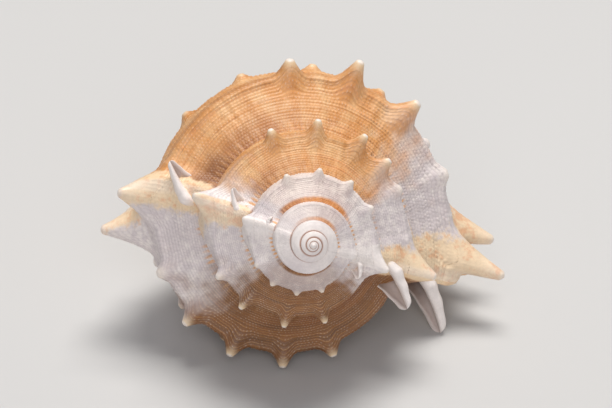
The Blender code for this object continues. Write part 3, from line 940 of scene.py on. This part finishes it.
def pillar_radius(degrees, down):
    """The columella's radius, at degrees forward of the lip: hollowed behind, with its gutter."""
    full = np.interp(down, [d for d, _ in PILLAR], [r for _, r in PILLAR])
    t = np.minimum(degrees, 0.0) / 360
    at_lip = LIP_DEPTH + (down - depth(t)) / scale(t)
    inner = HOLLOW_INNER[::-1]
    hollow = scale(t) * np.interp(at_lip, [d for _, d in inner], [r for r, _ in inner]) - 0.4
    open_to = np.interp(down, (48.0, 56.0), (38.0, 92.0))
    opened = 1 - ease(degrees, open_to - 30.0, open_to)
    opened = opened * (1 - ease(at_lip, 57.0, 60.5)) * ease(degrees, -165.0, -120.0)
    gutter = np.exp(-(np.abs((degrees - GUTTER_AT) / GUTTER_WIDTH) ** 3))
    gutter = GUTTER_DEPTH * gutter * ease(down, 54.0, 58.5) * (1 - opened)
    return full + np.minimum(hollow - full, 0.0) * opened - gutter


def soften(values):
    """A running mean over the lip's rows, so that the lining has no sharp corner."""
    window = 2 * SOFTEN_ROWS + 1
    padded = np.pad(values, SOFTEN_ROWS, mode="edge")
    return np.convolve(padded, np.ones(window) / window, mode="valid")


# Lip: from the outside's last column over a rounded edge to the lining's first column
row_rho = np.interp(body_at, fine_lengths, fine_curve[:, 0])
row_down = np.interp(body_at, fine_lengths, fine_curve[:, 1])
hollow_corner_at = [at_under(max(under, 0.0)) + min(under, 0.0) for under in HOLLOW_ROWS]
hollow_index = np.interp(body_at, hollow_corner_at, np.arange(len(HOLLOW_OUTER)))
corner_numbers = np.arange(len(HOLLOW_OUTER))
lining_rho = soften(np.interp(hollow_index, corner_numbers, [r for r, _ in HOLLOW_OUTER]))
lining_down = soften(np.interp(hollow_index, corner_numbers, [d for _, d in HOLLOW_OUTER]))
canal_row = ease(body_at, hollow_corner_at[-1] - 1.0, hollow_corner_at[-1] + 1.5)
lining_rho = lining_rho + (np.minimum(CANAL_WALL, row_rho - 0.4) - lining_rho) * canal_row
lining_down = lining_down + (row_down - lining_down) * canal_row
teeth = np.maximum(0.0, np.cos(2 * np.pi * body_at / TOOTH_WIDTH)) ** 1.5
teeth *= ease(body_at, at_under(1.0), at_under(3.0))
teeth *= 1 - ease(body_at, at_under(22.0), at_under(25.0))
lining_slope = np.stack([np.gradient(lining_down), -np.gradient(lining_rho)], axis=1)
lining_slope /= np.linalg.norm(lining_slope, axis=1)[:, None] + 1e-9


def lining(t):
    """The lining's points across from the lip's rows, with teeth near the lip."""
    height = TOOTH_HEIGHT * teeth * np.exp(-(((t + 0.004) / TOOTH_LENGTH) ** 2))
    rho = lining_rho - lining_slope[:, 0] * height
    down = lining_down - lining_slope[:, 1] * height
    return hollow_at(np.full(len(rho), t), rho, down)


lip_outside = points[-1]
lip_inside = lining(0.0)
lip_angle = np.arctan2(lip_inside[:, 1], lip_inside[:, 0])
lip_forward = np.stack([np.sin(lip_angle), -np.cos(lip_angle), 0 * lip_angle], axis=1)
turn = np.linspace(0, np.pi, LIP_COLUMNS)[:, None, None]
lip_points = lip_outside + (lip_inside - lip_outside) * (1 - np.cos(turn)) / 2
crimp = 1 + 0.16 * np.cos(2 * np.pi * body_at / TOOTH_WIDTH)
lip_points = lip_points + lip_forward * (LIP_FRONT * np.sin(turn) ** 0.7 * crimp[None, :, None])
lip_marks = {"growth": 0.0, "across": body_at[None, :], "inside": ((1 - np.cos(turn)) / 2)[..., 0]}
lip_marks["ridge"] = marks["ridge"][-1][None, :]
lip_marks["point"] = marks["point"][-1][None, :] * (1 - lip_marks["inside"])
mouth_sheets = [add_sheet("lip", lip_points, lip_marks)]

# Lining: a tube from the lip back inside, closed at its end, with the columella as its inner wall
open_rows = int(np.searchsorted(body_at, hollow_corner_at[-1]))
inner_line = (HOLLOW_OUTER[-1], (3.6, 59.3), *HOLLOW_INNER, (17.2, 27.6), HOLLOW_OUTER[0])
inner_corners = smooth_line(inner_line, CALLUS_ROWS)
inner_corners[0] = (lining_rho[open_rows], lining_down[open_rows])
inner_corners[-1] = (lining_rho[0], lining_down[0])
steps = HOLLOW_END * np.linspace(0, 1, LINING_COLUMNS) ** 1.4
rings = []
for t in steps:
    outer_part = lining(t)[: open_rows + 1]
    inner_part = hollow_at(np.full(CALLUS_ROWS, t), inner_corners[:, 0], inner_corners[:, 1])
    ring = np.concatenate([outer_part, inner_part[1:]])
    close = min(1.0, CLOSED_SIZE + CLOSE_RATE * (t - HOLLOW_END))
    rings.append(ring.mean(axis=0) + (ring - ring.mean(axis=0)) * close)
rings = np.array(rings)[:, ::-1]
inner_across = np.full(CALLUS_ROWS - 1, DEEP_INSIDE)
ring_across = np.concatenate([body_at[: open_rows + 1], inner_across])[::-1]
lining_marks = {"growth": steps[:, None], "across": ring_across[None, :], "inside": 1.0}
mouth_sheets.append(add_sheet("lining", rings, lining_marks))

# Callus: from the columella side of the lining forward onto the whorl before, thinning out
share = np.linspace(0, 1, CALLUS_COLUMNS)[:, None]
down = inner_corners[None, :, 1] + 0 * share
rho = inner_corners[None, :, 0] + 0 * share
spread_to = np.interp(inner_corners[:, 1], (27.0, 34.0, 50.0, 58.0), (0.045, 0.075, 0.10, 0.06))
t = share * spread_to[None, :]
before = t - 1
under_before = (down - depth(before)) / scale(before)
unders = [under for _, under in BELOW_SHOULDER]
old_whorl = np.interp(under_before, unders, [s for s, _ in BELOW_SHOULDER]) * radius(before)
old_whorl = np.where(under_before > unders[-1], 0.0, old_whorl)
lying_on = np.maximum(old_whorl, pillar_radius(360 * t, down)) - 0.25 * share
callus_rho = rho + (lying_on - rho) * ease(share, 0.0, 1.0)
callus_points = place(t, callus_rho, down)[:, ::-1]
callus_marks = {"growth": t[::-1, ::-1], "across": DEEP_INSIDE, "inside": 1.0}
mouth_sheets.append(add_sheet("callus", callus_points[::-1], callus_marks))

# Columella: round the axis, then in over its rounded end
degrees = np.linspace(-180.0, 180.0, 145)[:, None]
down = np.linspace(PILLAR_TOP, PILLAR_END, 90)[None, :]
pillar_rho = pillar_radius(degrees, down)
end_turn = np.linspace(0, np.pi / 2, 9)[None, 1:]
end_rho = pillar_rho[:, -1:] * (1 - 0.999 * (1 - np.cos(end_turn)))
end_down = PILLAR_END + PILLAR_ROUND * np.sin(end_turn) + 0 * degrees
pillar_rho = np.concatenate([pillar_rho, end_rho], axis=1)
pillar_down = np.concatenate([down + 0 * degrees, end_down], axis=1)
pillar_t = degrees / 360 + 0 * pillar_rho
pillar_points = turned(LIP_AZIMUTH - 2 * np.pi * pillar_t, pillar_rho, pillar_down)
gutter_depth = np.exp(-(((degrees - GUTTER_AT) / GUTTER_WIDTH) ** 2)) + 0 * pillar_rho
pillar_marks = {"growth": -0.4, "across": 45.0, "inside": 0.4 + 0.6 * gutter_depth}
mouth_sheets.append(add_sheet("columella", pillar_points, pillar_marks))
aperture = join_sheets("aperture", mouth_sheets)

PORCELAIN = linear(247, 232, 214)
WARM_PORCELAIN = linear(238, 209, 176)
FLUSHED = linear(214, 160, 112)


def mouth_material():
    """The mouth: porcelain cream, flushed tan deeper in, with a cream and orange lip edge."""
    material = bpy.data.materials.new("mouth_porcelain")
    material.use_nodes = True
    n = Nodes(material.node_tree)
    growth = n.mark("growth")
    place_on = n.place()
    patches = n.uneven(place_on, 160.0, 3.0, 0.55)
    deep = n.step(n.plus(growth, n.times(patches, 0.05)), -0.02, -0.16)
    colour = n.blend(n.step(patches, -0.15, 0.2), PORCELAIN, WARM_PORCELAIN)
    colour = n.blend(n.times(deep, 0.6), colour, FLUSHED)
    edge = n.blend(n.step(patches, -0.1, 0.2), CREAM, ORANGE)
    colour = n.blend(n.step(n.mark("inside"), 0.55, 0.1), colour, edge)
    colour = n.blend(n.step(n.mark("point"), 0.15, 0.75), colour, WORN_TIP)
    paint = finish_paint(n, colour, 0.10, 0.32, 0.25)
    paint.inputs["Coat Weight"].default_value = 0.25
    paint.inputs["Coat Roughness"].default_value = 0.2
    return material


aperture.data.materials.append(mouth_material())
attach(aperture, "root")
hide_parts("shell")


# Canal spines
# At each varix the upper end of the former mouth was drawn out into a half-pipe spine, open
# towards the apex. The newest, at the lip, is the largest.

# As (t of the varix, turn forward of the tip, reach of the tip over the shoulder's radius, mm it
# hangs down), then the radius in mm at foot and tip and how hollow the taper is, and the foot's
# share of the way from suture to shoulder, mm under the suture, and its front wall's share
CANAL_SPINES = (
    (0.000, 0.0459, 1.159, 5.5, 3.3, 0.80, 0.6, 0.36, 2.6, 0.16),
    (-0.510, 0.0311, 1.035, 2.0, 3.4, 0.60, 1.1, 0.24, 1.5, 0.50),
    (-0.997, 0.0344, 1.183, 1.5, 3.1, 0.70, 0.7, 0.36, 2.5, 0.16),
    (-1.491, 0.0276, 0.942, 1.0, 1.9, 0.40, 1.2, 0.24, 1.4, 0.50),
    (-1.988, 0.0309, 0.906, 0.5, 1.4, 0.35, 0.8, 0.34, 2.0, 0.30),
    (-2.496, 0.0287, 0.765, 0.0, 0.9, 0.25, 0.8, 0.28, 1.4, 0.50),
)
PIPE_BACK = -0.24
PIPE_ROUND = 0.92
PIPE_SIDE = math.radians(84)
PIPE_RIDGE = 0.72
PIPE_CLOSED_FROM = 0.32
PIPE_CLOSE_POWER = 1.25
PIPE_SINK = 1.2
PIPE_SAG = 0.5
PIPE_SOLID = 0.95
PIPE_RINGS = 60
PIPE_TIP_RINGS = 12
PIPE_ARC = 25
RIM_ARC = 7
PIPE_WAVE = 0.03
PIPE_LEAST = 0.02
PIPE_NARROWS = 0.12


def canal_spine(
    t, turn, reach, hang, foot_width, tip_width, power, foot_share, foot_down, front_wall
):
    """A half-pipe spine from inside the ramp out to its tip, with a rounded rim all round."""
    size = float(scale(t))
    inner, top = suture(t)
    foot = place(t, inner + foot_share * (radius(t) - inner), top + foot_down * size)
    tip = place(t + turn, reach * radius(t), top + hang * size)
    out, forward = level_ways(math.atan2(foot[1], foot[0]))
    along = tip - foot
    opening = 0.55 * TO_APEX - 0.85 * out - 0.10 * forward
    opening = opening - along * (opening @ along) / (along @ along)
    opening /= np.linalg.norm(opening)
    side = np.cross(along / np.linalg.norm(along), opening)
    tip_turn = np.linspace(0.0, math.pi / 2, PIPE_TIP_RINGS + 1)[1:]
    shares = np.concatenate([
        np.linspace(PIPE_BACK, PIPE_ROUND, PIPE_RINGS),
        PIPE_ROUND + (1 - PIPE_ROUND) * np.sin(tip_turn),
    ])
    round_off = np.concatenate([np.ones(PIPE_RINGS), np.cos(tip_turn)])
    arc = np.linspace(-1, 1, PIPE_ARC)
    rim = np.linspace(0, math.pi, RIM_ARC)[1:-1]
    walls = PIPE_RIDGE + (front_wall - PIPE_RIDGE) * ease(arc, -0.75, 0.25)
    rings = []
    for u, rounded in zip(shares, round_off):
        rise = max(float(u), 0.0)
        behind = max(0.0, PIPE_CLOSED_FROM - float(u)) / (PIPE_CLOSED_FROM - PIPE_BACK)
        wave = 1 + PIPE_WAVE * math.sin(23 * u + 7 * t)
        outer = (tip_width + (foot_width - tip_width) * (1 - rise) ** power) * wave
        outer *= max(0.0, 1 - behind**PIPE_CLOSE_POWER) * (1 - PIPE_LEAST) + PIPE_LEAST
        outer *= max(rounded, PIPE_LEAST)
        thick = outer * (walls + (PIPE_SOLID - walls) * rise**4)
        sunk = PIPE_SAG * math.sin(math.pi * rise) + PIPE_SINK * behind**2
        centre = foot + along * u - opening * (sunk * size)
        spread = PIPE_SIDE * (1 - PIPE_NARROWS * rise)
        edges = []
        for wall, way in ((thick[-1], 1), (thick[0], -1)):
            middle = outer - wall / 2
            edges.append((
                way * (spread + 0.5 * wall / middle * np.sin(rim)),
                middle + way * wall / 2 * np.cos(rim),
            ))
        turns = np.concatenate([arc * spread, edges[0][0], -arc * spread, edges[1][0]])
        reaches = np.concatenate([
            np.full(PIPE_ARC, outer),
            edges[0][1],
            outer - thick[::-1],
            edges[1][1],
        ])
        turns = np.append(turns, turns[0])
        reaches = np.append(reaches, reaches[0])
        ways = np.sin(turns)[:, None] * side - np.cos(turns)[:, None] * opening
        rings.append(centre + reaches[:, None] * ways)
    edge = rim / math.pi
    pipe = ease(arc[::-1], -1.0, -0.45)
    within = np.concatenate([np.zeros(PIPE_ARC), 0.5 + 0.5 * edge, pipe, 0.0 * edge, [0.0]])
    along_spine = np.maximum(shares, 0.0)[:, None]
    marks = {"growth": t, "across": 3.0, "inside": within[None, :], "point": along_spine}
    return add_sheet("canal_spines", np.array(rings), marks)


PALE_FOOT = linear(226, 196, 164)
OLD_PIPE = linear(214, 184, 156)
NEW_PIPE = linear(84, 48, 22)
OLD_PIPE_TIP = linear(226, 214, 208)
NEW_PIPE_TIP = linear(190, 172, 164)


def spine_material():
    """White from a cream foot; the pipe is brown on the newest spines, and paler to its tip."""
    material = bpy.data.materials.new("canal_spine")
    material.use_nodes = True
    n = Nodes(material.node_tree)
    point = n.mark("point")
    place_on = n.place()
    patches = n.uneven(place_on, 300.0, 3.0, 0.55)
    outside = n.blend(n.step(patches, -0.15, 0.2), CREAM, PALE_FOOT)
    past_foot = n.step(n.plus(point, n.times(patches, 0.4)), -0.05, 0.18)
    outside = n.blend(past_foot, outside, WHITE_WALL)
    newest = n.step(n.mark("growth"), -1.3, -0.9)
    near_tip = n.step(n.plus(point, n.times(patches, 0.3)), 0.10, 0.70)
    deep = n.blend(newest, OLD_PIPE, NEW_PIPE)
    pipe = n.blend(near_tip, deep, n.blend(newest, OLD_PIPE_TIP, NEW_PIPE_TIP))
    colour = n.blend(n.step(n.mark("inside"), 0.55, 0.98), outside, pipe)
    finish_paint(n, colour, 0.20, 0.42, 0.5)
    return material


canal_spines = join_sheets("canal_spines", [canal_spine(*spine) for spine in CANAL_SPINES])
canal_spines.data.materials.append(spine_material())
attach(canal_spines, "root")
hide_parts("shell")


# Floor, lights and camera
# The shell lies on a plain pale floor under a broad soft light from above, seen nearly down its
# axis from in front of the apex.

bpy.ops.mesh.primitive_plane_add(size=3.0, location=(0.0, 0.6, 0.0))
floor = bpy.context.active_object
floor.name = "floor"
floor_paint = bpy.data.materials.new("floor_paper")
floor_paint.use_nodes = True
paper = floor_paint.node_tree.nodes["Principled BSDF"].inputs
paper["Base Color"].default_value = (0.62, 0.61, 0.60, 1.0)
paper["Roughness"].default_value = 0.9
floor.data.materials.append(floor_paint)

world = bpy.data.worlds.new("studio")
bpy.context.scene.world = world
world.use_nodes = True
sky = world.node_tree.nodes["Background"].inputs
sky["Color"].default_value = (0.9, 0.93, 1.0, 1.0)
sky["Strength"].default_value = 0.22
bpy.context.scene.view_settings.view_transform = "Standard"


def add_light(name, at, aim, size, power, colour):
    bpy.ops.object.light_add(type="AREA", location=at)
    light = bpy.context.active_object
    light.name = name
    light.rotation_euler = (Vector(aim) - Vector(at)).to_track_quat("-Z", "Y").to_euler()
    light.data.size = size
    light.data.energy = power
    light.data.color = colour


add_light("key", (0.04, 0.14, 0.62), (0.0, 0.0, 0.02), 0.30, 3.7, (1.0, 0.98, 0.95))
add_light("fill", (-0.1, -0.7, 0.40), (0.0, 0.0, 0.02), 0.5, 2.3, (0.97, 0.98, 1.0))

CAMERA_DISTANCE = 0.45
CAMERA_AZIMUTH = math.radians(-9.02)
CAMERA_ELEVATION = math.radians(29.32)
CAMERA_ROLL = math.radians(3.33)
CAMERA_FIELD = math.radians(11.79)
CAMERA_AIM = Vector((0.00084, -0.00165, 0.01733))
back = Vector((
    math.sin(CAMERA_AZIMUTH) * math.cos(CAMERA_ELEVATION),
    -math.cos(CAMERA_AZIMUTH) * math.cos(CAMERA_ELEVATION),
    math.sin(CAMERA_ELEVATION),
))
level = back.to_track_quat("Z", "Y").to_matrix()
bpy.ops.object.camera_add(location=CAMERA_AIM + back * CAMERA_DISTANCE)
camera = bpy.context.active_object
camera.rotation_euler = (level @ Matrix.Rotation(CAMERA_ROLL, 3, "Z")).to_euler()
camera.data.angle = CAMERA_FIELD
camera.data.clip_start = 0.02
bpy.context.scene.camera = camera
